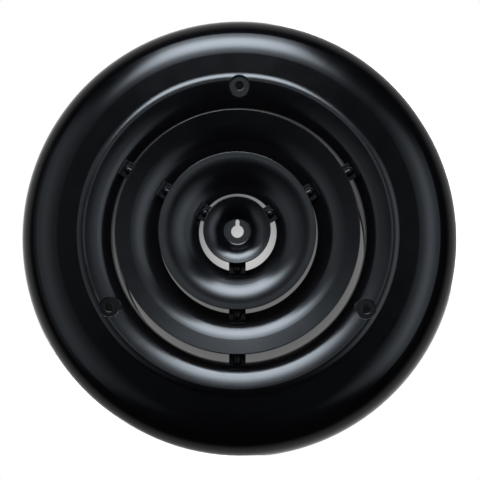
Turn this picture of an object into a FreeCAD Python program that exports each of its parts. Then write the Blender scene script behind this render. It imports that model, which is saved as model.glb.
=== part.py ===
"""Round step-down ceiling air diffuser for a 150 mm (6 in) duct, pressed from steel sheet.

Frame: +Z points up into the duct and the face looks down into the room. The origin is on the
diffuser's axis, in the plane of the ceiling that the flange's rim rests on. Millimetres.

Every cone is a thin sheet turned about the Z axis. A profile is walked from the axis outwards, with
the face on its right-hand side and the back on its left.
"""

import FreeCAD, Part
import math
import os
import Sketcher

VECTOR = FreeCAD.Vector
UP = VECTOR(0, 0, 1)
ORIGIN = (-1, 1)
HORIZONTAL_AXIS = -1
VERTICAL_AXIS = -2

# Depths are measured down from the ceiling plane, heights up from it. Angles are in degrees.
DIMENSIONS = [
    ("sheet", 0.8, "thickness of the cones, the flange and the hangers"),
    ("assembly_gap", 0.05, "gap between two pieces that are spot welded together"),
    ("rim_radius", 128.55, "flange, outside, at the ceiling"),
    ("rim_roll_radius", 19.0, "flange, the roll from the ceiling to the shoulder"),
    ("shoulder_radius", 32.0, "flange, the wide curve from the band into the rim's roll"),
    ("shoulder_fall", 25.0, "flange, slope where the shoulder meets the rim's roll"),
    ("lip_radius", 93.3, "flange, inner edge, hidden behind the crest of the outer cone"),
    ("lip_depth", 20.6, "flange, depth of the inner edge"),
    ("throat_radius", 73.8, "outer cone, inside of the throat wall"),
    ("throat_wall_top", 2.0, "outer cone, height of the throat wall's upper edge"),
    ("throat_wall_depth", 13.07, "outer cone, depth where the throat wall starts to flare"),
    ("throat_roll_radius", 5.0, "outer cone, tight curve below the throat"),
    ("throat_roll_sweep", 50.0, "outer cone, turn of the tight curve"),
    ("inner_slope_radius", 20.0, "outer cone, inner curve of the slope"),
    ("inner_slope_sweep", 21.0, "outer cone, turn of the inner curve"),
    ("outer_slope_radius", 45.0, "outer cone, wide outer curve of the slope"),
    ("outer_slope_sweep", 9.0, "outer cone, turn of the outer curve"),
    ("crest_radius", 8.0, "outer cone, rounded crest"),
    ("crest_sweep", 36.0, "outer cone, turn of the crest, down on to the flange"),
    ("screw_circle_radius", 86.1, "circle that the three mounting holes lie on"),
    ("screw_pad_radius", 5.8, "round recess of a screw pad"),
    ("screw_pad_depth", 20.4, "depth of a screw pad's floor"),
    ("screw_boss_radius", 6.6, "boss round a screw pad, at the floor"),
    ("screw_boss_height", 3.0, "how far a boss's tapered wall reaches up from the floor"),
    ("screw_boss_taper", 28.0, "draft of a boss's wall"),
    ("screw_hole_radius", 2.4, "mounting hole"),
    ("screw_hole_bevel", 0.4, "rounded mouth of a mounting hole"),
    ("collar_sheet", 0.6, "thickness of the duct collar"),
    ("collar_depth", 9.0, "depth of the collar's lower edge, over the throat wall"),
    ("collar_height", 30.0, "height of the collar's upper edge"),
    ("collar_sweep", 359.7, "how far round the axis the collar's band reaches, up to its open seam"),
    ("second_throat", 46.3, "second cone, radius of the throat"),
    ("second_slope", 27.0, "second cone, slope at the throat"),
    ("second_curve", 26.0, "second cone, radius of the curved part of the profile"),
    ("second_knee_radius", 62.0, "second cone, where the curve meets the outer flare"),
    ("second_knee_depth", 26.81, "second cone, depth of that point"),
    ("second_edge_radius", 70.3, "second cone, outer edge"),
    ("second_edge_depth", 28.35, "second cone, depth of the outer edge"),
    ("third_throat", 22.6, "third cone, radius of the throat"),
    ("third_slope", 26.0, "third cone, slope at the throat"),
    ("third_curve", 28.0, "third cone, radius of the curved part of the profile"),
    ("third_knee_radius", 42.0, "third cone, where the curve meets the flat outer band"),
    ("third_knee_depth", 32.08, "third cone, depth of that point"),
    ("third_edge_radius", 45.0, "third cone, outer edge"),
    ("third_edge_depth", 32.2, "third cone, depth of the outer edge"),
    ("centre_floor_radius", 7.0, "centre cone, flat floor"),
    ("centre_floor_depth", 29.0, "centre cone, depth of the floor"),
    ("centre_fillet", 1.5, "centre cone, curve from the floor to the wall"),
    ("centre_curve", 14.0, "centre cone, curve from the wall to the flare"),
    ("centre_knee_radius", 17.0, "centre cone, where that curve meets the straight flare"),
    ("centre_knee_depth", 34.78, "centre cone, depth of that point"),
    ("centre_edge_radius", 18.9, "centre cone, outer edge"),
    ("centre_edge_depth", 35.11, "centre cone, depth of the outer edge"),
    ("keyhole_radius", 3.6, "round part of the keyhole"),
    ("keyhole_slot_width", 2.3, "keyhole slot"),
    ("keyhole_slot_reach", 6.9, "end of the keyhole slot from the axis"),
    ("strap_width", 9.6, "hanger strap"),
    ("strap_bend", 0.5, "hanger strap, inside radius of a bend"),
    ("bead_radius", 2.45, "half-round stiffening bead pressed in a hanger strap"),
]

# A hanger runs from its foot behind the inner cone to its heel, straight up, out along its span and
# down on to the flare of the next cone. A radius or depth is that of the strap's room side.
HANGER_FIELDS = (
    "foot_radius",
    "foot_depth",
    "heel_radius",
    "heel_depth",
    "span_depth",
    "span_end",
    "tab_fall",
    "tab_length",
    "bead_start",
    "bead_end",
)
HANGER_GAPS = {
    "outer": (57.0, 24.44, 63.0, 26.13, 18.88, 76.06, 25.25, 2.5, 66.6, 76.6),
    "middle": (33.0, 29.30, 38.0, 30.77, 23.18, 49.93, 22.75, 2.5, 41.4, 50.4),
    "inner": (13.6, 32.79, 15.7, 33.60, 26.97, 23.6, 25.25, 2.5, 18.4, 24.1),
}
HANGER_AZIMUTHS = (30.0, 150.0, 270.0)
SCREW_COUNT = 3
CORE_OVERRUN = 2.0
SMALLEST_CUT = 0.1
MATCH = 1e-3


def write_sheet(doc):
    """Puts every driving dimension in the spreadsheet, each under its alias."""
    sheet = doc.addObject("Spreadsheet::Sheet", "Dims")
    rows = list(DIMENSIONS)
    for gap, numbers in HANGER_GAPS.items():
        for field, number in zip(HANGER_FIELDS, numbers):
            rows.append((f"{gap}_{field}", number, f"hanger in the {gap} gap"))
    for row, (alias, number, meaning) in enumerate(rows, start=1):
        sheet.set(f"A{row}", meaning)
        sheet.set(f"B{row}", str(number))
        sheet.setAlias(f"B{row}", alias)
    doc.recompute()
    return sheet


def new_body(doc, label):
    """A PartDesign body whose Label names the piece."""
    body = doc.addObject("PartDesign::Body", label)
    body.Label = label
    return body


def new_sketch(body, name, role):
    """A sketch on one of the body's own origin planes."""
    plane = next(f for f in body.Origin.OriginFeatures if f.Role == role)
    sketch = body.newObject("Sketcher::SketchObject", name)
    sketch.AttachmentSupport = [(plane, "")]
    sketch.MapMode = "FlatFace"
    return sketch


def origin_axis(body, role):
    """One of the body's own origin axes, as a link for a revolution or a pattern."""
    return (next(f for f in body.Origin.OriginFeatures if f.Role == role), [""])


def drive(sketch, constraint, expression):
    """Adds a dimensional constraint and binds it to the spreadsheet."""
    index = sketch.addConstraint(constraint)
    sketch.setExpression(f"Constraints[{index}]", expression)


def drive_x(sketch, end, number, expression):
    """Binds the horizontal position of a point."""
    drive(sketch, Sketcher.Constraint("DistanceX", *ORIGIN, *end, number), expression)


def drive_depth(sketch, end, number, expression):
    """Binds how far a point lies below the horizontal axis."""
    drive(sketch, Sketcher.Constraint("DistanceY", *end, *ORIGIN, number), expression)


def drive_height(sketch, end, number, expression):
    """Binds how far a point lies above the horizontal axis."""
    drive(sketch, Sketcher.Constraint("DistanceY", *ORIGIN, *end, number), expression)


def line_leg(length):
    """A straight stretch of a profile."""
    return {"radius": None, "length": length, "turn": 0.0}


def arc_leg(radius, turn):
    """A round stretch of a profile, turning left where turn is positive, in degrees."""
    return {"radius": radius, "length": None, "turn": math.radians(turn)}


def polar(angle, length):
    """A plane vector."""
    return VECTOR(math.cos(angle), math.sin(angle), 0) * length


def add_line(sketch, start, end):
    """Adds a straight edge and returns how its two ends are named in a constraint."""
    index = sketch.addGeometry(Part.LineSegment(start, end), False)
    return {"index": index, "start": (index, 1), "end": (index, 2)}


def add_arc(sketch, centre, radius, heading, turn):
    """Adds a round edge that leaves at heading and turns by turn."""
    left = 1 if turn > 0 else -1
    first = heading - left * math.pi / 2
    low, high = sorted((first, first + turn))
    circle = Part.Circle(centre, UP, radius)
    index = sketch.addGeometry(Part.ArcOfCircle(circle, low, high), False)
    ends = ((index, 1), (index, 2)) if left > 0 else ((index, 2), (index, 1))
    return {"index": index, "start": ends[0], "end": ends[1], "centre": (index, 3)}


def walk(sketch, start, heading, legs):
    """Draws the legs end to end, tangent to each other, and returns the edges and where they stop."""
    point = VECTOR(start[0], start[1], 0)
    angle = math.radians(heading)
    edges = []
    for leg in legs:
        if leg["radius"] is None:
            reached = point + polar(angle, leg["length"])
            edges.append(add_line(sketch, point, reached))
        else:
            left = 1 if leg["turn"] > 0 else -1
            centre = point + polar(angle + left * math.pi / 2, leg["radius"])
            edges.append(add_arc(sketch, centre, leg["radius"], angle, leg["turn"]))
            angle += leg["turn"]
            reached = centre - polar(angle + left * math.pi / 2, leg["radius"])
        point = reached
    for before, after in zip(edges, edges[1:]):
        sketch.addConstraint(Sketcher.Constraint("Tangent", *before["end"], *after["start"]))
    return edges, point, angle


def shifted(start, heading, legs, distance):
    """The start and the legs of the parallel profile that lies distance to the left."""
    normal = polar(math.radians(heading + 90), distance)
    parallel = []
    for leg in legs:
        moved = dict(leg)
        if leg["radius"] is not None:
            moved["radius"] = leg["radius"] - math.copysign(distance, leg["turn"])
        parallel.append(moved)
    return (start[0] + normal.x, start[1] + normal.y), parallel


def strip(sketch, start, heading, legs, sheet, round_ends):
    """Draws a sheet's cross-section: the face as walked, and its back one sheet to the left."""
    thickness = sheet.get("sheet")
    face, stop, stop_angle = walk(sketch, start, heading, legs)
    back_start, back_legs = shifted(start, heading, legs, thickness)
    back, back_stop, _ = walk(sketch, back_start, heading, back_legs)
    for here, there in zip(face, back):
        if "centre" in here:
            sketch.addConstraint(Sketcher.Constraint("Coincident", *here["centre"], *there["centre"]))
        else:
            sketch.addConstraint(Sketcher.Constraint("Parallel", here["index"], there["index"]))
    begin = VECTOR(start[0], start[1], 0)
    back_begin = VECTOR(back_start[0], back_start[1], 0)
    if round_ends:
        half = thickness / 2
        far = add_arc(sketch, (stop + back_stop) / 2, half, stop_angle, math.pi)
        near_angle = math.radians(heading) + math.pi
        near = add_arc(sketch, (begin + back_begin) / 2, half, near_angle, math.pi)
    else:
        far = add_line(sketch, stop, back_stop)
        near = add_line(sketch, back_begin, begin)
    square = "Tangent" if round_ends else "Perpendicular"
    loose = "Tangent" if round_ends else "Coincident"
    sketch.addConstraint(Sketcher.Constraint(square, *face[-1]["end"], *far["start"]))
    sketch.addConstraint(Sketcher.Constraint(loose, *far["end"], *back[-1]["end"]))
    sketch.addConstraint(Sketcher.Constraint(loose, *back[0]["start"], *near["start"]))
    sketch.addConstraint(Sketcher.Constraint(square, *near["end"], *face[0]["start"]))
    if round_ends:
        radius = Sketcher.Constraint("Radius", far["index"], thickness / 2)
        drive(sketch, radius, "Dims.sheet / 2")
    else:
        length = Sketcher.Constraint("Distance", far["index"], thickness)
        drive(sketch, length, "Dims.sheet")
    return face


def revolve(body, sketch, sweep="360"):
    """Turns the sketch about the diffuser's axis, a full turn unless a sweep is given."""
    turned = body.newObject("PartDesign::Revolution", sketch.Name + "_turned")
    turned.Profile = sketch
    turned.ReferenceAxis = origin_axis(body, "Z_Axis")
    turned.setExpression("Angle", sweep)
    sketch.Visibility = False


def flange_ring(doc, sheet):
    """The wide dished ring that covers the ceiling cut-out: a nearly flat band and a rolled rim."""
    body = new_body(doc, "flange_ring")
    sketch = new_sketch(body, "flange_profile", "XZ_Plane")
    roll = sheet.get("rim_roll_radius")
    shoulder = sheet.get("shoulder_radius")
    rim = sheet.get("rim_radius")
    lip = (sheet.get("lip_radius"), -sheet.get("lip_depth"))
    fall = math.radians(sheet.get("shoulder_fall"))
    centre = VECTOR(rim - roll, 0, 0) - polar(fall - math.pi / 2, shoulder - roll)
    to_centre = centre - VECTOR(lip[0], lip[1], 0)
    heading = math.atan2(to_centre.y, to_centre.x) - math.asin(shoulder / to_centre.Length)
    band = math.sqrt(to_centre.Length**2 - shoulder**2)
    legs = [
        line_leg(band),
        arc_leg(shoulder, math.degrees(fall - heading)),
        arc_leg(roll, 90 - math.degrees(fall)),
    ]
    face = strip(sketch, lip, math.degrees(heading), legs, sheet, round_ends=False)
    drive_x(sketch, face[0]["start"], lip[0], "Dims.lip_radius")
    drive_depth(sketch, face[0]["start"], -lip[1], "Dims.lip_depth")
    radius = Sketcher.Constraint("Radius", face[1]["index"], shoulder)
    drive(sketch, radius, "Dims.shoulder_radius")
    drive(sketch, Sketcher.Constraint("Radius", face[2]["index"], roll), "Dims.rim_roll_radius")
    sweep = Sketcher.Constraint("Angle", face[2]["index"], math.pi / 2 - fall)
    drive(sketch, sweep, "90 - Dims.shoulder_fall")
    drive_x(sketch, face[2]["end"], rim, "Dims.rim_radius")
    for point in (face[2]["end"], face[2]["centre"]):
        sketch.addConstraint(Sketcher.Constraint("PointOnObject", *point, HORIZONTAL_AXIS))
    revolve(body, sketch)
    return body


SLOPE_CURVES = ("throat_roll", "inner_slope", "outer_slope", "crest")


def slope_legs(sheet):
    """The outer cone's face from the throat wall's upper edge down and out to the flange."""
    legs = [line_leg(sheet.get("throat_wall_top") + sheet.get("throat_wall_depth"))]
    for curve in SLOPE_CURVES:
        legs.append(arc_leg(sheet.get(curve + "_radius"), sheet.get(curve + "_sweep")))
    return legs


def slope_backing(doc, sheet, label, inset, overrun):
    """Everything behind the outer cone's face, or behind its back where inset is the sheet's cell.

    overrun is how far the shape runs past the face's outer end and the throat wall's upper edge.
    """
    body = new_body(doc, label)
    sketch = new_sketch(body, label + "_profile", "XZ_Plane")
    depth = sheet.get("sheet") if inset else 0.0
    minus = " - Dims.sheet" if inset else ""
    plus = " + Dims.sheet" if inset else ""
    top = sheet.get("throat_wall_top")
    wall_depth = sheet.get("throat_wall_depth")
    start, legs = shifted((sheet.get("throat_radius"), top), -90, slope_legs(sheet), depth)
    edges, stop, angle = walk(sketch, start, -90, legs)
    wall = edges[0]
    sketch.addConstraint(Sketcher.Constraint("Vertical", wall["index"]))
    drive_x(sketch, wall["start"], start[0], "Dims.throat_radius" + plus)
    drive_height(sketch, wall["start"], top, "Dims.throat_wall_top")
    drive_depth(sketch, wall["end"], wall_depth, "Dims.throat_wall_depth")
    for edge, leg, curve in zip(edges[1:], legs[1:], SLOPE_CURVES):
        radius = Sketcher.Constraint("Radius", edge["index"], leg["radius"])
        drive(sketch, radius, f"Dims.{curve}_radius{minus}")
        sweep = Sketcher.Constraint("Angle", edge["index"], leg["turn"])
        drive(sketch, sweep, f"Dims.{curve}_sweep")
    corner = stop
    last = edges[-1]["end"]
    if overrun:
        corner = stop + polar(angle, overrun)
        run_on = add_line(sketch, stop, corner)
        sketch.addConstraint(Sketcher.Constraint("Tangent", *last, *run_on["start"]))
        sketch.addConstraint(Sketcher.Constraint("Distance", run_on["index"], overrun))
        last = run_on["end"]
    lid_height = top + overrun
    riser = add_line(sketch, corner, VECTOR(corner.x, lid_height, 0))
    lid = add_line(sketch, VECTOR(corner.x, lid_height, 0), VECTOR(start[0], lid_height, 0))
    sketch.addConstraint(Sketcher.Constraint("Coincident", *last, *riser["start"]))
    sketch.addConstraint(Sketcher.Constraint("Coincident", *riser["end"], *lid["start"]))
    sketch.addConstraint(Sketcher.Constraint("Vertical", riser["index"]))
    sketch.addConstraint(Sketcher.Constraint("Horizontal", lid["index"]))
    if overrun:
        side = add_line(sketch, VECTOR(start[0], lid_height, 0), VECTOR(start[0], start[1], 0))
        sketch.addConstraint(Sketcher.Constraint("Coincident", *lid["end"], *side["start"]))
        sketch.addConstraint(Sketcher.Constraint("Coincident", *side["end"], *wall["start"]))
        sketch.addConstraint(Sketcher.Constraint("Vertical", side["index"]))
        sketch.addConstraint(Sketcher.Constraint("Distance", side["index"], overrun))
    else:
        sketch.addConstraint(Sketcher.Constraint("Coincident", *lid["end"], *wall["start"]))
    revolve(body, sketch)
    doc.recompute()
    return body


def screw_circle(body, sheet, name, radius_cell, lift_cell):
    """A circle at the first screw's place, level with the pad's floor or with the floor's back."""
    sketch = new_sketch(body, f"{body.Label}_{name}", "XY_Plane")
    sketch.setExpression("AttachmentOffset.Base.z", f"-Dims.screw_pad_depth{lift_cell}")
    place = VECTOR(0, sheet.get("screw_circle_radius"), 0)
    radius = sheet.get("screw_pad_radius")
    index = sketch.addGeometry(Part.Circle(place, UP, radius), False)
    sketch.addConstraint(Sketcher.Constraint("PointOnObject", index, 3, VERTICAL_AXIS))
    drive_height(sketch, (index, 3), place.y, "Dims.screw_circle_radius")
    drive(sketch, Sketcher.Constraint("Radius", index, radius), radius_cell)
    sketch.Visibility = False
    return sketch


def three_times(body, features):
    """Repeats the features at equal angles round the diffuser's axis."""
    pattern = body.newObject("PartDesign::PolarPattern", body.Label + "_pattern")
    pattern.Originals = features
    pattern.Axis = origin_axis(body, "Z_Axis")
    pattern.Angle = 360.0
    pattern.Occurrences = SCREW_COUNT
    body.Tip = pattern


def screw_pads(doc, body, sheet, inset):
    """Stamps the pads: a tapered boss up from the floor, a straight recess below it, and a hole.

    The inset body takes the same steps one sheet thickness in, and carries the hole.
    """
    narrower = " - Dims.sheet" if inset else ""
    wider = " + Dims.sheet" if inset else ""
    boss = body.newObject("PartDesign::Pad", body.Label + "_boss")
    boss_cell = "Dims.screw_boss_radius" + narrower
    boss.Profile = screw_circle(body, sheet, "boss_circle", boss_cell, wider)
    boss.setExpression("Length", "Dims.screw_boss_height")
    boss.setExpression("TaperAngle", "Dims.screw_boss_taper")
    recess = body.newObject("PartDesign::Pocket", body.Label + "_recess")
    recess_cell = "Dims.screw_pad_radius" + wider
    recess.Profile = screw_circle(body, sheet, "recess_circle", recess_cell, wider)
    recess.setExpression("Length", "Dims.screw_boss_height")
    features = [boss, recess]
    if inset:
        hole = body.newObject("PartDesign::Pad", body.Label + "_hole")
        hole.Profile = screw_circle(body, sheet, "hole_circle", "Dims.screw_hole_radius", wider)
        hole.Reversed = True
        hole.setExpression("Length", "Dims.sheet * 2")
        features.append(hole)
    doc.recompute()
    before = body.Shape.Volume
    three_times(body, features)
    doc.recompute()
    if abs(body.Shape.Volume - before) < SMALLEST_CUT:
        raise RuntimeError(f"{body.Label}: the pads were not repeated")


def mouths(shape, sheet):
    """The face-side edges of the three mounting holes, by number."""
    depth = -sheet.get("screw_pad_depth")
    radius = sheet.get("screw_hole_radius")
    found = []
    for number, edge in enumerate(shape.Edges, start=1):
        curve = edge.Curve
        if isinstance(curve, Part.Circle) and abs(curve.Radius - radius) < MATCH:
            if abs(curve.Center.z - depth) < MATCH:
                found.append(number)
    return found


def outer_cone(doc, sheet):
    """The flared slope with its throat wall and three stamped screw pads."""
    solid = slope_backing(doc, sheet, "outer_cone_face", inset=False, overrun=0.0)
    screw_pads(doc, solid, sheet, inset=False)
    core = slope_backing(doc, sheet, "outer_cone_core", inset=True, overrun=CORE_OVERRUN)
    screw_pads(doc, core, sheet, inset=True)
    shell = doc.addObject("Part::Cut", "outer_cone_shell")
    shell.Base = solid
    shell.Tool = core
    doc.recompute()
    cone = doc.addObject("Part::Fillet", "outer_cone")
    cone.Base = shell
    bevel = sheet.get("screw_hole_bevel")
    rims = mouths(shell.Shape, sheet)
    if len(rims) != SCREW_COUNT:
        raise RuntimeError(f"outer_cone has {len(rims)} mounting holes")
    cone.Edges = [(number, bevel, bevel) for number in rims]
    cone.Label = "outer_cone"
    return cone


def neck_collar(doc, sheet):
    """The rolled band that the duct slides over, spot welded round the throat wall."""
    body = new_body(doc, "neck_collar")
    sketch = new_sketch(body, "collar_profile", "XZ_Plane")
    inside = sheet.get("throat_radius") + sheet.get("sheet") + sheet.get("assembly_gap")
    outside = inside + sheet.get("collar_sheet")
    low = -sheet.get("collar_depth")
    high = sheet.get("collar_height")
    corners = [(inside, low), (outside, low), (outside, high), (inside, high)]
    points = [VECTOR(x, y, 0) for x, y in corners]
    sides = [add_line(sketch, a, b) for a, b in zip(points, points[1:] + points[:1])]
    for before, after in zip(sides, sides[1:] + sides[:1]):
        sketch.addConstraint(Sketcher.Constraint("Coincident", *before["end"], *after["start"]))
    for side, direction in zip(sides, ("Horizontal", "Vertical", "Horizontal", "Vertical")):
        sketch.addConstraint(Sketcher.Constraint(direction, side["index"]))
    bore = "Dims.throat_radius + Dims.sheet + Dims.assembly_gap"
    drive_x(sketch, sides[0]["start"], inside, bore)
    drive_x(sketch, sides[0]["end"], outside, bore + " + Dims.collar_sheet")
    drive_depth(sketch, sides[0]["start"], -low, "Dims.collar_depth")
    drive_height(sketch, sides[2]["start"], high, "Dims.collar_height")
    revolve(body, sketch, "Dims.collar_sweep")
    return body


def flared_cone(doc, sheet, name):
    """A bell-mouthed ring: straight throat, curve and straight flare, with both edges rounded."""
    body = new_body(doc, name + "_cone")
    sketch = new_sketch(body, name + "_profile", "XZ_Plane")
    throat = sheet.get(name + "_throat")
    slope = math.radians(sheet.get(name + "_slope"))
    curve = sheet.get(name + "_curve")
    knee = VECTOR(sheet.get(name + "_knee_radius"), -sheet.get(name + "_knee_depth"), 0)
    edge = VECTOR(sheet.get(name + "_edge_radius"), -sheet.get(name + "_edge_depth"), 0)
    flare = math.atan2(knee.y - edge.y, edge.x - knee.x)
    bend = knee - VECTOR(math.sin(slope) - math.sin(flare), math.cos(slope) - math.cos(flare), 0) * curve
    run = (bend.x - throat) / math.cos(slope)
    start = bend - polar(-slope, run)
    legs = [
        line_leg(run),
        arc_leg(curve, math.degrees(slope - flare)),
        line_leg((edge - knee).Length),
    ]
    heading = -math.degrees(slope)
    straight, bent, rim = strip(sketch, (start.x, start.y), heading, legs, sheet, round_ends=True)
    drive_x(sketch, straight["start"], throat, f"Dims.{name}_throat")
    fall = Sketcher.Constraint("Angle", straight["index"], -slope)
    drive(sketch, fall, f"-Dims.{name}_slope")
    drive(sketch, Sketcher.Constraint("Radius", bent["index"], curve), f"Dims.{name}_curve")
    drive_x(sketch, rim["start"], knee.x, f"Dims.{name}_knee_radius")
    drive_depth(sketch, rim["start"], -knee.y, f"Dims.{name}_knee_depth")
    drive_x(sketch, rim["end"], edge.x, f"Dims.{name}_edge_radius")
    drive_depth(sketch, rim["end"], -edge.y, f"Dims.{name}_edge_depth")
    revolve(body, sketch)
    return body


def centre_profile(body, sheet):
    """The dish's cross-section: flat floor, fillet, wall, curve and flare, from the axis outwards."""
    sketch = new_sketch(body, "centre_profile", "XZ_Plane")
    floor = VECTOR(sheet.get("centre_floor_radius"), -sheet.get("centre_floor_depth"), 0)
    knee = VECTOR(sheet.get("centre_knee_radius"), -sheet.get("centre_knee_depth"), 0)
    edge = VECTOR(sheet.get("centre_edge_radius"), -sheet.get("centre_edge_depth"), 0)
    fillet = sheet.get("centre_fillet")
    curve = sheet.get("centre_curve")
    flare = math.atan2(edge.y - knee.y, edge.x - knee.x)
    between = knee + polar(flare + math.pi / 2, curve) - (floor - VECTOR(0, fillet, 0))
    wall = math.atan2(between.y, between.x) - math.asin((fillet + curve) / between.Length)
    wall_length = math.sqrt(between.Length**2 - (fillet + curve) ** 2)
    legs = [
        line_leg(floor.x),
        arc_leg(fillet, math.degrees(wall)),
        line_leg(wall_length),
        arc_leg(curve, math.degrees(flare - wall)),
        line_leg((edge - knee).Length),
    ]
    face, stop, angle = walk(sketch, (0, floor.y), 0, legs)
    thickness = sheet.get("sheet")
    back_start, back_legs = shifted((0, floor.y), 0, legs, thickness)
    back, back_stop, _ = walk(sketch, back_start, 0, back_legs)
    for here, there in zip(face, back):
        if "centre" in here:
            sketch.addConstraint(Sketcher.Constraint("Coincident", *here["centre"], *there["centre"]))
        else:
            sketch.addConstraint(Sketcher.Constraint("Parallel", here["index"], there["index"]))
    cap = add_arc(sketch, (stop + back_stop) / 2, thickness / 2, angle, math.pi)
    sketch.addConstraint(Sketcher.Constraint("Tangent", *face[-1]["end"], *cap["start"]))
    sketch.addConstraint(Sketcher.Constraint("Tangent", *cap["end"], *back[-1]["end"]))
    drive(sketch, Sketcher.Constraint("Radius", cap["index"], thickness / 2), "Dims.sheet / 2")
    axis = add_line(sketch, VECTOR(0, back_start[1], 0), VECTOR(0, floor.y, 0))
    sketch.addConstraint(Sketcher.Constraint("Coincident", *axis["start"], *back[0]["start"]))
    sketch.addConstraint(Sketcher.Constraint("Coincident", *axis["end"], *face[0]["start"]))
    for point in (axis["start"], axis["end"]):
        sketch.addConstraint(Sketcher.Constraint("PointOnObject", *point, VERTICAL_AXIS))
    sketch.addConstraint(Sketcher.Constraint("Horizontal", face[0]["index"]))
    drive_x(sketch, face[0]["end"], floor.x, "Dims.centre_floor_radius")
    drive_depth(sketch, face[0]["end"], -floor.y, "Dims.centre_floor_depth")
    drive(sketch, Sketcher.Constraint("Radius", face[1]["index"], fillet), "Dims.centre_fillet")
    drive(sketch, Sketcher.Constraint("Radius", face[3]["index"], curve), "Dims.centre_curve")
    drive_x(sketch, face[4]["start"], knee.x, "Dims.centre_knee_radius")
    drive_depth(sketch, face[4]["start"], -knee.y, "Dims.centre_knee_depth")
    drive_x(sketch, face[4]["end"], edge.x, "Dims.centre_edge_radius")
    drive_depth(sketch, face[4]["end"], -edge.y, "Dims.centre_edge_depth")
    return sketch


def keyhole(body, sheet):
    """Cuts the keyhole through the floor: a round hole with a round-ended slot towards +Y."""
    sketch = new_sketch(body, "keyhole_outline", "XY_Plane")
    radius = sheet.get("keyhole_radius")
    half = sheet.get("keyhole_slot_width") / 2
    slot_centre = VECTOR(0, sheet.get("keyhole_slot_reach") - half, 0)
    corner = VECTOR(half, math.sqrt(radius**2 - half**2), 0)
    bite = math.atan2(corner.y, corner.x)
    circle = Part.Circle(VECTOR(0, 0, 0), UP, radius)
    arc = sketch.addGeometry(Part.ArcOfCircle(circle, math.pi - bite, 2 * math.pi + bite), False)
    right = add_line(sketch, corner, VECTOR(half, slot_centre.y, 0))
    cap = add_arc(sketch, slot_centre, half, math.pi / 2, math.pi)
    left = add_line(sketch, VECTOR(-half, slot_centre.y, 0), VECTOR(-half, corner.y, 0))
    sketch.addConstraint(Sketcher.Constraint("Coincident", arc, 3, *ORIGIN))
    sketch.addConstraint(Sketcher.Constraint("Coincident", arc, 2, *right["start"]))
    sketch.addConstraint(Sketcher.Constraint("Tangent", *right["end"], *cap["start"]))
    sketch.addConstraint(Sketcher.Constraint("Tangent", *cap["end"], *left["start"]))
    sketch.addConstraint(Sketcher.Constraint("Coincident", *left["end"], arc, 1))
    sketch.addConstraint(Sketcher.Constraint("Vertical", right["index"]))
    sketch.addConstraint(Sketcher.Constraint("Vertical", left["index"]))
    sketch.addConstraint(Sketcher.Constraint("PointOnObject", *cap["centre"], VERTICAL_AXIS))
    drive(sketch, Sketcher.Constraint("Radius", arc, radius), "Dims.keyhole_radius")
    width = Sketcher.Constraint("Radius", cap["index"], half)
    drive(sketch, width, "Dims.keyhole_slot_width / 2")
    reach = "Dims.keyhole_slot_reach - Dims.keyhole_slot_width / 2"
    drive_height(sketch, cap["centre"], slot_centre.y, reach)
    cut = body.newObject("PartDesign::Pocket", "keyhole")
    cut.Profile = sketch
    cut.Reversed = False
    cut.Type = "Length"
    cut.setExpression("Length", "Dims.centre_floor_depth + Dims.sheet * 2")
    sketch.Visibility = False


def centre_cone(doc, sheet):
    """The small dish in the middle, with the keyhole in its flat floor."""
    body = new_body(doc, "centre_cone")
    revolve(body, centre_profile(body, sheet))
    doc.recompute()
    keyhole(body, sheet)
    return body


def strap_legs(size, sheet):
    """A hanger strap's room side, from the foot's inner end outwards, and the foot's slope."""
    inside = sheet.get("strap_bend")
    outside = inside + sheet.get("sheet")
    run = size["heel_radius"] - size["foot_radius"]
    fall = math.atan2(size["heel_depth"] - size["foot_depth"], run)
    drop = size["heel_depth"] - size["foot_depth"]
    rise_radius = size["heel_radius"] + outside * (math.sin(fall) + 1)
    rise_foot = -size["heel_depth"] + outside * math.cos(fall)
    rise_head = -size["span_depth"] - inside
    legs = [
        line_leg(math.hypot(run, drop)),
        arc_leg(outside, 90 + math.degrees(fall)),
        line_leg(rise_head - rise_foot),
        arc_leg(inside, -90),
        line_leg(size["span_end"] - rise_radius - inside),
        arc_leg(inside, -size["tab_fall"]),
        line_leg(size["tab_length"]),
    ]
    return legs, math.degrees(fall)


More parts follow.
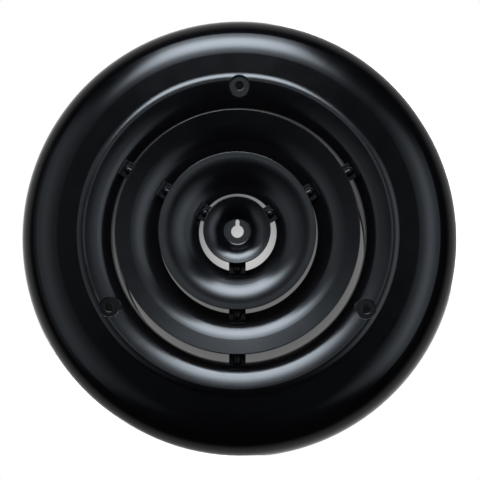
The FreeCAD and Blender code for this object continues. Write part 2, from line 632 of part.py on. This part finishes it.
def strap_outline(body, sheet, gap):
    """The strap's edge-on outline in the vertical plane through the diffuser's axis."""
    sketch = new_sketch(body, body.Label + "_outline", "XZ_Plane")
    size = {field: sheet.get(f"{gap}_{field}") for field in HANGER_FIELDS}
    legs, fall = strap_legs(size, sheet)
    start = (size["foot_radius"], -size["foot_depth"])
    face = strip(sketch, start, -fall, legs, sheet, round_ends=False)
    foot, foot_bend, rise, rise_bend, span, tab_bend, tab = face
    drive_x(sketch, foot["start"], start[0], f"Dims.{gap}_foot_radius")
    drive_depth(sketch, foot["start"], -start[1], f"Dims.{gap}_foot_depth")
    drive_x(sketch, foot["end"], size["heel_radius"], f"Dims.{gap}_heel_radius")
    drive_depth(sketch, foot["end"], size["heel_depth"], f"Dims.{gap}_heel_depth")
    sketch.addConstraint(Sketcher.Constraint("Vertical", rise["index"]))
    sketch.addConstraint(Sketcher.Constraint("Horizontal", span["index"]))
    drive_depth(sketch, span["start"], size["span_depth"], f"Dims.{gap}_span_depth")
    drive_x(sketch, span["end"], size["span_end"], f"Dims.{gap}_span_end")
    radii = (
        (foot_bend, legs[1], "Dims.strap_bend + Dims.sheet"),
        (rise_bend, legs[3], "Dims.strap_bend"),
        (tab_bend, legs[5], "Dims.strap_bend"),
    )
    for edge, leg, cell in radii:
        drive(sketch, Sketcher.Constraint("Radius", edge["index"], leg["radius"]), cell)
    sweep = Sketcher.Constraint("Angle", tab_bend["index"], abs(legs[5]["turn"]))
    drive(sketch, sweep, f"Dims.{gap}_tab_fall")
    length = Sketcher.Constraint("Distance", tab["index"], size["tab_length"])
    drive(sketch, length, f"Dims.{gap}_tab_length")
    sketch.Visibility = False
    return sketch


def bead_outline(body, sheet, gap, name, inset):
    """Half a capsule under the strap's span, its straight side on the strap's room side."""
    sketch = new_sketch(body, f"{body.Label}_{name}_outline", "XZ_Plane")
    wall = sheet.get("sheet") if inset else 0.0
    radius = sheet.get("bead_radius") - wall
    depth = sheet.get(f"{gap}_span_depth")
    first = VECTOR(sheet.get(f"{gap}_bead_start") + wall + radius, -depth, 0)
    last = VECTOR(sheet.get(f"{gap}_bead_end") - wall - radius, -depth, 0)
    reach = VECTOR(radius, 0, 0)
    drop = VECTOR(0, radius, 0)
    quarter = math.pi / 2
    axis = add_line(sketch, last + reach, first - reach)
    near = add_arc(sketch, first, radius, -quarter, quarter)
    side = add_line(sketch, first - drop, last - drop)
    far = add_arc(sketch, last, radius, 0, quarter)
    sketch.addConstraint(Sketcher.Constraint("Coincident", *axis["end"], *near["start"]))
    sketch.addConstraint(Sketcher.Constraint("Tangent", *near["end"], *side["start"]))
    sketch.addConstraint(Sketcher.Constraint("Tangent", *side["end"], *far["start"]))
    sketch.addConstraint(Sketcher.Constraint("Coincident", *far["end"], *axis["start"]))
    sketch.addConstraint(Sketcher.Constraint("Horizontal", axis["index"]))
    sketch.addConstraint(Sketcher.Constraint("Horizontal", side["index"]))
    sketch.addConstraint(Sketcher.Constraint("PointOnObject", *near["centre"], axis["index"]))
    sketch.addConstraint(Sketcher.Constraint("PointOnObject", *far["centre"], axis["index"]))
    less = " - Dims.sheet" if inset else ""
    more = " + Dims.sheet" if inset else ""
    radius_now = Sketcher.Constraint("Radius", near["index"], radius)
    drive(sketch, radius_now, "Dims.bead_radius" + less)
    drive_x(sketch, axis["end"], first.x - radius, f"Dims.{gap}_bead_start{more}")
    drive_x(sketch, axis["start"], last.x + radius, f"Dims.{gap}_bead_end{less}")
    drive_depth(sketch, axis["end"], depth, f"Dims.{gap}_span_depth")
    sketch.Visibility = False
    return sketch


def hanger(doc, sheet, gap, number, azimuth):
    """One bent strap with a pressed bead, holding a cone at the flare of its larger neighbour."""
    body = new_body(doc, f"{gap}_hanger_{number}")
    strap = body.newObject("PartDesign::Pad", body.Label + "_strap")
    strap.Profile = strap_outline(body, sheet, gap)
    strap.Midplane = True
    strap.setExpression("Length", "Dims.strap_width")
    doc.recompute()
    bead = body.newObject("PartDesign::Revolution", body.Label + "_bead")
    bead.Profile = bead_outline(body, sheet, gap, "bead", inset=False)
    bead.ReferenceAxis = (bead.Profile[0], ["Edge1"])
    bead.Midplane = True
    bead.Angle = 180.0
    doc.recompute()
    hollow = body.newObject("PartDesign::Groove", body.Label + "_hollow")
    hollow.Profile = bead_outline(body, sheet, gap, "hollow", inset=True)
    hollow.ReferenceAxis = (hollow.Profile[0], ["Edge1"])
    hollow.Angle = 360.0
    doc.recompute()
    if bead.Shape.Volume - hollow.Shape.Volume < SMALLEST_CUT:
        raise RuntimeError(f"{body.Label}: the bead was not hollowed")
    turn = FreeCAD.Rotation(UP, azimuth)
    body.Placement = FreeCAD.Placement(VECTOR(0, 0, 0), turn)
    return body


def build_pieces(doc, sheet):
    """Every separate piece of the diffuser, in the order it is assembled."""
    pieces = [
        flange_ring(doc, sheet),
        outer_cone(doc, sheet),
        neck_collar(doc, sheet),
        flared_cone(doc, sheet, "second"),
        flared_cone(doc, sheet, "third"),
        centre_cone(doc, sheet),
    ]
    for gap in HANGER_GAPS:
        for number, azimuth in enumerate(HANGER_AZIMUTHS, start=1):
            pieces.append(hanger(doc, sheet, gap, number, azimuth))
    return pieces


def check(doc, pieces):
    """Stops if anything in the document failed, or a piece is not one closed solid."""
    for thing in doc.Objects:
        failed = {"Invalid", "Error"} & set(thing.State)
        if failed:
            raise RuntimeError(f"{thing.Label} is {sorted(failed)}")
    for piece in pieces:
        shape = piece.Shape
        if shape.isNull() or not shape.isValid() or len(shape.Solids) != 1:
            raise RuntimeError(f"{piece.Label} is not one valid solid")


def main():
    """Builds the document, checks it and writes one STEP file for each piece."""
    doc = FreeCAD.newDocument("ceiling_diffuser")
    sheet = write_sheet(doc)
    pieces = build_pieces(doc, sheet)
    doc.recompute()
    check(doc, pieces)
    os.makedirs("parts", exist_ok=True)
    for piece in pieces:
        piece.Shape.exportStep(os.path.join("parts", piece.Label + ".step"))


main()
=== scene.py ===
"""Looks for the round step-down ceiling diffuser: powder coat, studio light and the camera.

The frame is the CAD model's: +Z up into the duct, the face looking down, metres.
"""

import math

import bpy
from mathutils import Matrix, Vector


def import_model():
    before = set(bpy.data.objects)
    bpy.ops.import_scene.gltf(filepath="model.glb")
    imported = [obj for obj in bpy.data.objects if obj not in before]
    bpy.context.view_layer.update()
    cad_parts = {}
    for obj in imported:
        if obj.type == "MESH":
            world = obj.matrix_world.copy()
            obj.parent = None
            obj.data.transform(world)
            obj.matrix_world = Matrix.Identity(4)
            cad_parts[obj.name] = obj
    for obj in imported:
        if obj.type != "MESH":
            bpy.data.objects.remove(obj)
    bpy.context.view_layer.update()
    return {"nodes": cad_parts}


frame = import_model()

MM = 0.001
CEILING_HALF_WIDTH = 0.1421
CAMERA_DEPTH = 1.0
CAMERA_BACK = 0.169
CAMERA_RIGHT = 0.0515
CAMERA_ROLL = math.radians(-0.45)
SHIFT_FADE = 5000.0


# ---------------------------------------------------------------- node helpers

def node(tree, kind, **values):
    """Adds a shader node, setting its inputs by name and its own properties by attribute."""
    made = tree.nodes.new(kind)
    for name, value in values.items():
        if name in made.inputs:
            made.inputs[name].default_value = value
        else:
            setattr(made, name, value)
    return made


def wire(tree, source, output, target, socket):
    """Links an output of one node to an input of another."""
    tree.links.new(source.outputs[output], target.inputs[socket])


def ramp(tree, source, output, stops):
    """A colour ramp over the source's output, with its stops as (position, colour)."""
    made = tree.nodes.new("ShaderNodeValToRGB")
    line = made.color_ramp.elements
    for spare in list(line)[1:]:
        line.remove(spare)
    line[0].position, line[0].color = stops[0]
    for position, colour in stops[1:]:
        line.new(position).color = colour
    wire(tree, source, output, made, "Fac")
    return made


def mixed(tree, share, output, first, second):
    """Mixes two shaders: all of the second where the share's output is 1."""
    made = node(tree, "ShaderNodeMixShader")
    wire(tree, share, output, made, "Fac")
    tree.links.new(first.outputs[0], made.inputs[1])
    tree.links.new(second.outputs[0], made.inputs[2])
    return made


def grey(value, blue=0.0):
    """A colour a little blue by the given share."""
    return (value, value, value * (1.0 + blue), 1.0)


# ---------------------------------------------------------------- powder coat

CLOUD_SCALE = 28.0
SHEEN_SCALE = 90.0
SCUFF_SCALE = 420.0
PEEL_SCALE = 950.0
PEEL_HEIGHT = 0.05 * MM
EDGE_RADIUS = 0.35 * MM
SHEEN_SWING = 0.03


def noise(tree, place, scale, detail, roughness):
    """Noise over the object's own coordinates, which are metres, so scale is per metre."""
    made = node(tree, "ShaderNodeTexNoise", Scale=scale, Detail=detail, Roughness=roughness)
    wire(tree, place, "Object", made, "Vector")
    return made


def cloudy_tint(tree, place, base):
    """The coat's colour, a little uneven from place to place."""
    cloud = noise(tree, place, CLOUD_SCALE, 3.0, 0.55)
    return ramp(tree, cloud, "Fac", [
        (0.35, grey(base * 0.75, 0.5)),
        (0.65, grey(base * 1.25, 0.3)),
    ])


def edge_wear(tree, place, edge_normal):
    """1 where a sharp edge is rubbed, in patches, and 0 elsewhere."""
    geometry = node(tree, "ShaderNodeNewGeometry")
    bend = node(tree, "ShaderNodeVectorMath", operation="DOT_PRODUCT")
    wire(tree, edge_normal, "Normal", bend, 0)
    wire(tree, geometry, "Normal", bend, 1)
    rubbed = ramp(tree, bend, "Value", [(0.80, grey(1.0)), (0.99, grey(0.0))])
    scuff = noise(tree, place, SCUFF_SCALE, 4.0, 0.7)
    patchy = ramp(tree, scuff, "Fac", [(0.48, grey(0.0)), (0.62, grey(1.0))])
    wear = node(tree, "ShaderNodeMath", operation="MULTIPLY")
    wire(tree, rubbed, "Color", wear, 0)
    wire(tree, patchy, "Color", wear, 1)
    return wear


def powder_coat(name, base, roughness, peel, gloss=0.5):
    """Satin powder coat: fine orange peel, cloudy variation, uneven sheen and rubbed edges."""
    material = bpy.data.materials.new(name)
    material.use_nodes = True
    tree = material.node_tree
    tree.nodes.clear()
    place = node(tree, "ShaderNodeTexCoord")
    out = node(tree, "ShaderNodeOutputMaterial")
    coat = node(tree, "ShaderNodeBsdfPrincipled", Metallic=0.0, IOR=1.5)
    coat.inputs["Specular IOR Level"].default_value = gloss
    edge_normal = node(tree, "ShaderNodeBevel", Radius=EDGE_RADIUS)
    edge_normal.samples = 4

    worn = node(tree, "ShaderNodeMix", data_type="RGBA")
    worn.inputs["B"].default_value = grey(base * 3.0 + 0.02, 0.05)
    wire(tree, edge_wear(tree, place, edge_normal), "Value", worn, "Factor")
    wire(tree, cloudy_tint(tree, place, base), "Color", worn, "A")
    wire(tree, worn, "Result", coat, "Base Color")

    dull = node(tree, "ShaderNodeMapRange")
    dull.inputs["To Min"].default_value = roughness - SHEEN_SWING
    dull.inputs["To Max"].default_value = roughness + SHEEN_SWING
    wire(tree, noise(tree, place, SHEEN_SCALE, 2.0, 0.5), "Fac", dull, "Value")
    wire(tree, dull, "Result", coat, "Roughness")

    bump = node(tree, "ShaderNodeBump", Strength=peel, Distance=PEEL_HEIGHT)
    wire(tree, noise(tree, place, PEEL_SCALE, 2.0, 0.5), "Fac", bump, "Height")
    wire(tree, edge_normal, "Normal", bump, "Normal")
    wire(tree, bump, "Normal", coat, "Normal")
    wire(tree, coat, "BSDF", out, "Surface")
    return material


def dress(material, names):
    """Gives CAD nodes a material."""
    for name in names:
        piece = frame["nodes"][name]
        piece.data.materials.clear()
        piece.data.materials.append(material)


HANGERS = [f"{gap}_hanger_{number}" for gap in ("outer", "middle", "inner") for number in (1, 2, 3)]
CONES = ["outer_cone", "second_cone", "third_cone", "centre_cone"]
dress(powder_coat("flange_coat", 0.0013, 0.17, 0.22), ["flange_ring"])
dress(powder_coat("cone_coat", 0.0013, 0.20, 0.22), CONES)
dress(powder_coat("hanger_coat", 0.0013, 0.22, 0.22, 0.22), HANGERS)
# The collar's coat has a base several times lighter than the other coats: painted light, so that its dark
# wall still shows from the side.
dress(powder_coat("collar_coat", 0.010, 0.30, 0.25), ["neck_collar"])


# ---------------------------------------------------------------- studio

COOL = (0.80, 0.90, 1.0)
WHITE = (1.0, 1.0, 1.0)
KEY_HEIGHT = 42.0
EVEN = ((0.0, 1.0), (1.0, 1.0))
FEATHERED = ((0.0, 0.0), (0.16, 0.75), (0.3, 1.0), (0.7, 1.0), (0.84, 0.75), (1.0, 0.0))
BELL = ((0.0, 0.0), (0.25, 0.45), (0.5, 1.0), (0.75, 0.45), (1.0, 0.0))


def softbox(name, up, right, distance, width, height, radiance, colour=WHITE):
    """A softbox in the room, up degrees towards +Y and right degrees towards -X from straight below.

    width and height are in degrees as seen from the diffuser.
    """
    across = 2 * distance * math.tan(math.radians(width) / 2)
    tall = 2 * distance * math.tan(math.radians(height) / 2)
    data = bpy.data.lights.new(name, "AREA")
    data.shape = "RECTANGLE"
    data.size = across
    data.size_y = tall
    data.energy = radiance * math.pi * across * tall
    data.color = colour
    lamp = bpy.data.objects.new(name, data)
    turn = Matrix.Rotation(math.radians(up), 3, "X") @ Matrix.Rotation(math.radians(right), 3, "Y")
    lamp.location = turn @ Vector((0, 0, -distance))
    bpy.context.scene.collection.objects.link(lamp)
    behind = lamp.location.normalized()
    side = turn @ Vector((1, 0, 0))
    axes = Matrix((side, behind.cross(side), behind)).transposed().to_4x4()
    lamp.matrix_world = Matrix.Translation(lamp.location) @ axes
    lamp.visible_camera = False
    return lamp


def graded(lamp, across, rising):
    """Grades a softbox by two curves of (position, share) that run across it and from top to bottom."""
    lamp.data.use_nodes = True
    tree = lamp.data.node_tree
    place = node(tree, "ShaderNodeNewGeometry")
    split = node(tree, "ShaderNodeSeparateXYZ")
    wire(tree, place, "Parametric", split, "Vector")
    sideways = ramp(tree, split, "X", [(position, grey(share)) for position, share in across])
    upright = ramp(tree, split, "Y", [(position, grey(share)) for position, share in rising])
    both = node(tree, "ShaderNodeMath", operation="MULTIPLY")
    wire(tree, sideways, "Color", both, 0)
    wire(tree, upright, "Color", both, 1)
    wire(tree, both, "Value", tree.nodes["Emission"], "Strength")


def by_angle(up, height, stops):
    """Turns (degrees up, share) into (position, share) on a softbox height degrees tall, centred on up."""
    span = 2 * math.tan(math.radians(height) / 2)
    return [(0.5 - math.tan(math.radians(degrees - up)) / span, share) for degrees, share in stops]


def shines_only_on(lamp, names):
    """Keeps a softbox to some of the pieces, as a barn door or a flag would."""
    lit = bpy.data.collections.new(lamp.name + "_receivers")
    for name in names:
        lit.objects.link(frame["nodes"][name])
    lamp.light_linking.receiver_collection = lit


def key_lights():
    """A softbox towards +Y for the rings and one for the flange, each graded from top to bottom."""
    rings = softbox("ring_key", 40.0, -6.0, 1.0, 33.0, KEY_HEIGHT, 14.5, COOL)
    graded(rings, EVEN, by_angle(40.0, KEY_HEIGHT, [
        (57.5, 0.02), (53.2, 0.33), (50.0, 0.92), (48.0, 1.0), (38.0, 1.0), (34.0, 0.90), (31.4, 0.70),
        (29.1, 0.45), (26.6, 0.24), (25.5, 0.12), (24.6, 0.07), (22.0, 0.03), (20.0, 0.01),
    ]))
    shines_only_on(rings, CONES + HANGERS + ["neck_collar"])
    flange = softbox("flange_key", 45.5, -5.5, 1.0, 35.0, KEY_HEIGHT, 15.5, COOL)
    graded(flange, FEATHERED, by_angle(45.5, KEY_HEIGHT, [
        (65.5, 0.01), (63.0, 0.10), (59.0, 0.42), (55.0, 0.80), (50.5, 0.94), (46.0, 0.94),
        (43.0, 0.86), (38.5, 0.60), (34.6, 0.28), (31.0, 0.09), (28.0, 0.02), (25.5, 0.005),
    ]))
    shines_only_on(flange, ["flange_ring"])


def fill_lights():
    """Broad weak softboxes to either side and straight below, and a pair above for the object's back."""
    side_right = softbox("side_right", 4.0, 35.0, 1.5, 48.0, 60.0, 1.7, COOL)
    graded(side_right, BELL, FEATHERED)
    side_left = softbox("side_left", 6.0, -45.0, 1.5, 64.0, 70.0, 0.75, COOL)
    graded(side_left, BELL, FEATHERED)
    front_patch = softbox("front_patch", 9.5, -2.0, 1.7, 12.0, 9.0, 1.5, COOL)
    graded(front_patch, FEATHERED, FEATHERED)
    softbox("above_far", 160.0, 15.0, 1.6, 30.0, 30.0, 4.0)
    softbox("above_near", -160.0, -15.0, 1.6, 30.0, 30.0, 4.0)


def collar_lights():
    """A pair of softboxes near the horizon, so that the collar's round wall reads from the side."""
    for name, up, right in (("collar_light_far", 80.0, 50.0), ("collar_light_near", -80.0, -50.0)):
        lamp = softbox(name, up, right, 1.5, 30.0, 40.0, 4.0, COOL)
        graded(lamp, BELL, FEATHERED)
        shines_only_on(lamp, ["neck_collar"])


SKY_STEPS = ((-0.10, 0.25, 0.006, 0.36), (0.35, 0.85, 0.0, 0.4))


def world():
    """White to the camera. To everything else, dim below the ceiling and brighter above it.

    Each of SKY_STEPS rises from one strength to another between two heights on the unit sphere.
    """
    scene_world = bpy.data.worlds.new("studio")
    bpy.context.scene.world = scene_world
    scene_world.use_nodes = True
    tree = scene_world.node_tree
    tree.nodes.clear()
    path = node(tree, "ShaderNodeLightPath")
    place = node(tree, "ShaderNodeTexCoord")
    split = node(tree, "ShaderNodeSeparateXYZ")
    wire(tree, place, "Generated", split, "Vector")
    strengths = []
    for low, high, dim, bright in SKY_STEPS:
        rise = node(tree, "ShaderNodeMapRange")
        rise.inputs["From Min"].default_value = low
        rise.inputs["From Max"].default_value = high
        rise.inputs["To Min"].default_value = dim
        rise.inputs["To Max"].default_value = bright
        wire(tree, split, "Z", rise, "Value")
        strengths.append(rise)
    total = node(tree, "ShaderNodeMath", operation="ADD")
    wire(tree, strengths[0], "Result", total, 0)
    wire(tree, strengths[1], "Result", total, 1)
    seen = node(tree, "ShaderNodeBackground", Color=grey(1.0), Strength=1.0)
    felt = node(tree, "ShaderNodeBackground", Color=grey(1.0))
    wire(tree, total, "Value", felt, "Strength")
    out = node(tree, "ShaderNodeOutputWorld")
    wire(tree, mixed(tree, path, "Is Camera Ray", felt, seen), "Shader", out, "Surface")


TENTHS_PER_METRE = 10.0


def disc(name, radius, height, segments=96):
    """A flat disc that faces down."""
    mesh = bpy.data.meshes.new(name)
    rim = [(radius * math.cos(a), radius * math.sin(a), height)
           for a in (2 * math.pi * i / segments for i in range(segments))]
    mesh.from_pydata(rim, [], [tuple(range(segments))[::-1]])
    made = bpy.data.objects.new(name, mesh)
    bpy.context.scene.collection.objects.link(made)
    return made


def seen_from_below(name, stops):
    """A glow that a camera and mirrored rays from below see, graded by the distance from the axis.

    stops are (distance in tenths of a metre, colour).
    """
    material = bpy.data.materials.new(name)
    material.use_nodes = True
    tree = material.node_tree
    tree.nodes.clear()
    out = node(tree, "ShaderNodeOutputMaterial")
    path = node(tree, "ShaderNodeLightPath")
    geometry = node(tree, "ShaderNodeNewGeometry")
    front = node(tree, "ShaderNodeMath", operation="SUBTRACT")
    front.inputs[0].default_value = 1.0
    wire(tree, geometry, "Backfacing", front, 1)
    looking = node(tree, "ShaderNodeMath", operation="MAXIMUM")
    wire(tree, path, "Is Camera Ray", looking, 0)
    wire(tree, path, "Is Glossy Ray", looking, 1)
    shown = node(tree, "ShaderNodeMath", operation="MULTIPLY")
    wire(tree, looking, "Value", shown, 0)
    wire(tree, front, "Value", shown, 1)
    place = node(tree, "ShaderNodeTexCoord")
    flat = node(tree, "ShaderNodeVectorMath", operation="MULTIPLY")
    flat.inputs[1].default_value = (TENTHS_PER_METRE, TENTHS_PER_METRE, 0.0)
    wire(tree, place, "Object", flat, 0)
    reach = node(tree, "ShaderNodeVectorMath", operation="LENGTH")
    wire(tree, flat, "Vector", reach, 0)
    tone = ramp(tree, reach, "Value", stops)
    glow = node(tree, "ShaderNodeEmission", Strength=1.0)
    wire(tree, tone, "Color", glow, "Color")
    clear = node(tree, "ShaderNodeBsdfTransparent")
    wire(tree, mixed(tree, shown, "Value", clear, glow), "Shader", out, "Surface")
    return material


SHADE_RADIUS = 74.0 * MM
SHADE_HEIGHT = 34.0 * MM
# The disc over the flange is painted shade: a near-black sheet seen through the screw holes.
FLANGE_SHADE_RADIUS = 120.0 * MM
FLANGE_SHADE_HEIGHT = 36.0 * MM
FLOOR_RADIUS = 3.0
FLOOR_HEIGHT = -1.6


def duct_shade():
    """Stage discs over the neck and the flange, both painted shade: a grey glow over the neck, darker away
    from the axis, stands in for a shaded backdrop behind the openings, and a near-black sheet over the
    flange sits behind the screw holes.
    """
    shade = disc("painted_shade_backdrop_in_the_duct", SHADE_RADIUS, SHADE_HEIGHT)
    # Painted shade: the glow is brightest at the axis and darker outwards, where the neck and cones would
    # shade a backdrop; mirrored rays in the throat see it too.
    shade.data.materials.append(seen_from_below("backdrop_with_painted_shade", [
        (0.10, grey(0.55)),
        (0.35, grey(0.16)),
        (0.60, grey(0.12)),
        (0.74, grey(0.16)),
    ]))
    # Painted shade: a near-black sheet behind the flange, so the screw holes show dark.
    flange_shade = disc("painted_shade_over_the_flange", FLANGE_SHADE_RADIUS, FLANGE_SHADE_HEIGHT)
    flange_shade.data.materials.append(seen_from_below("painted_shade_sheet", [(0.0, grey(0.004)), (1.0, grey(0.006))]))
    return shade, flange_shade


def floor():
    """A plain pale floor well below the ceiling."""
    made = disc("studio_floor", FLOOR_RADIUS, FLOOR_HEIGHT)
    made.data.flip_normals()
    material = bpy.data.materials.new("pale_floor")
    material.use_nodes = True
    tree = material.node_tree
    paint = tree.nodes["Principled BSDF"]
    speck = node(tree, "ShaderNodeTexNoise", Scale=3.0, Detail=2.0)
    tone = ramp(tree, speck, "Fac", [(0.3, grey(0.80)), (0.7, grey(0.84))])
    wire(tree, tone, "Color", paint, "Base Color")
    paint.inputs["Roughness"].default_value = 0.9
    made.data.materials.append(material)
    made.visible_glossy = False
    return made


key_lights()
fill_lights()
collar_lights()
world()
duct_shade()
floor()


# ---------------------------------------------------------------- camera

def shift_only_here(data, field, camera, stand, value):
    """Applies a lens shift while the camera is at its stand, fading to none a fraction of a mm away.

    Seen from elsewhere, the object then needs no shift to stay in the middle of the picture.
    """
    curve = data.driver_add(field)
    curve.driver.type = "AVERAGE"
    gap = curve.driver.variables.new()
    gap.type = "LOC_DIFF"
    gap.targets[0].id = camera
    gap.targets[1].id = stand
    slope = curve.modifiers[0]
    slope.mode = "POLYNOMIAL"
    slope.poly_order = 1
    slope.coefficients = (value, -value * SHIFT_FADE)
    stop = curve.modifiers.new("LIMITS")
    if value > 0:
        stop.use_min_y = True
        stop.min_y = 0.0
    else:
        stop.use_max_y = True
        stop.max_y = 0.0


def camera():
    """Looks straight up at the face from off to one side, with a shifted lens so it stays centred."""
    data = bpy.data.cameras.new("camera")
    data.sensor_width = 36.0
    data.lens = data.sensor_width * CAMERA_DEPTH / (2 * CEILING_HALF_WIDTH)
    data.clip_start = 0.01
    data.clip_end = 20.0
    made = bpy.data.objects.new("camera", data)
    stand = bpy.data.objects.new("camera_stand", None)
    roll = Matrix.Rotation(CAMERA_ROLL, 4, "Z")
    place = Matrix.Translation((-CAMERA_RIGHT, -CAMERA_BACK, -CAMERA_DEPTH))
    for thing in (made, stand):
        bpy.context.scene.collection.objects.link(thing)
        thing.matrix_world = roll @ place @ Matrix.Rotation(math.pi, 4, "Y")
    width = 2 * CEILING_HALF_WIDTH
    shift_only_here(data, "shift_x", made, stand, -CAMERA_RIGHT / width)
    shift_only_here(data, "shift_y", made, stand, CAMERA_BACK / width)
    bpy.context.scene.camera = made


bpy.context.scene.view_settings.view_transform = "Standard"
camera()
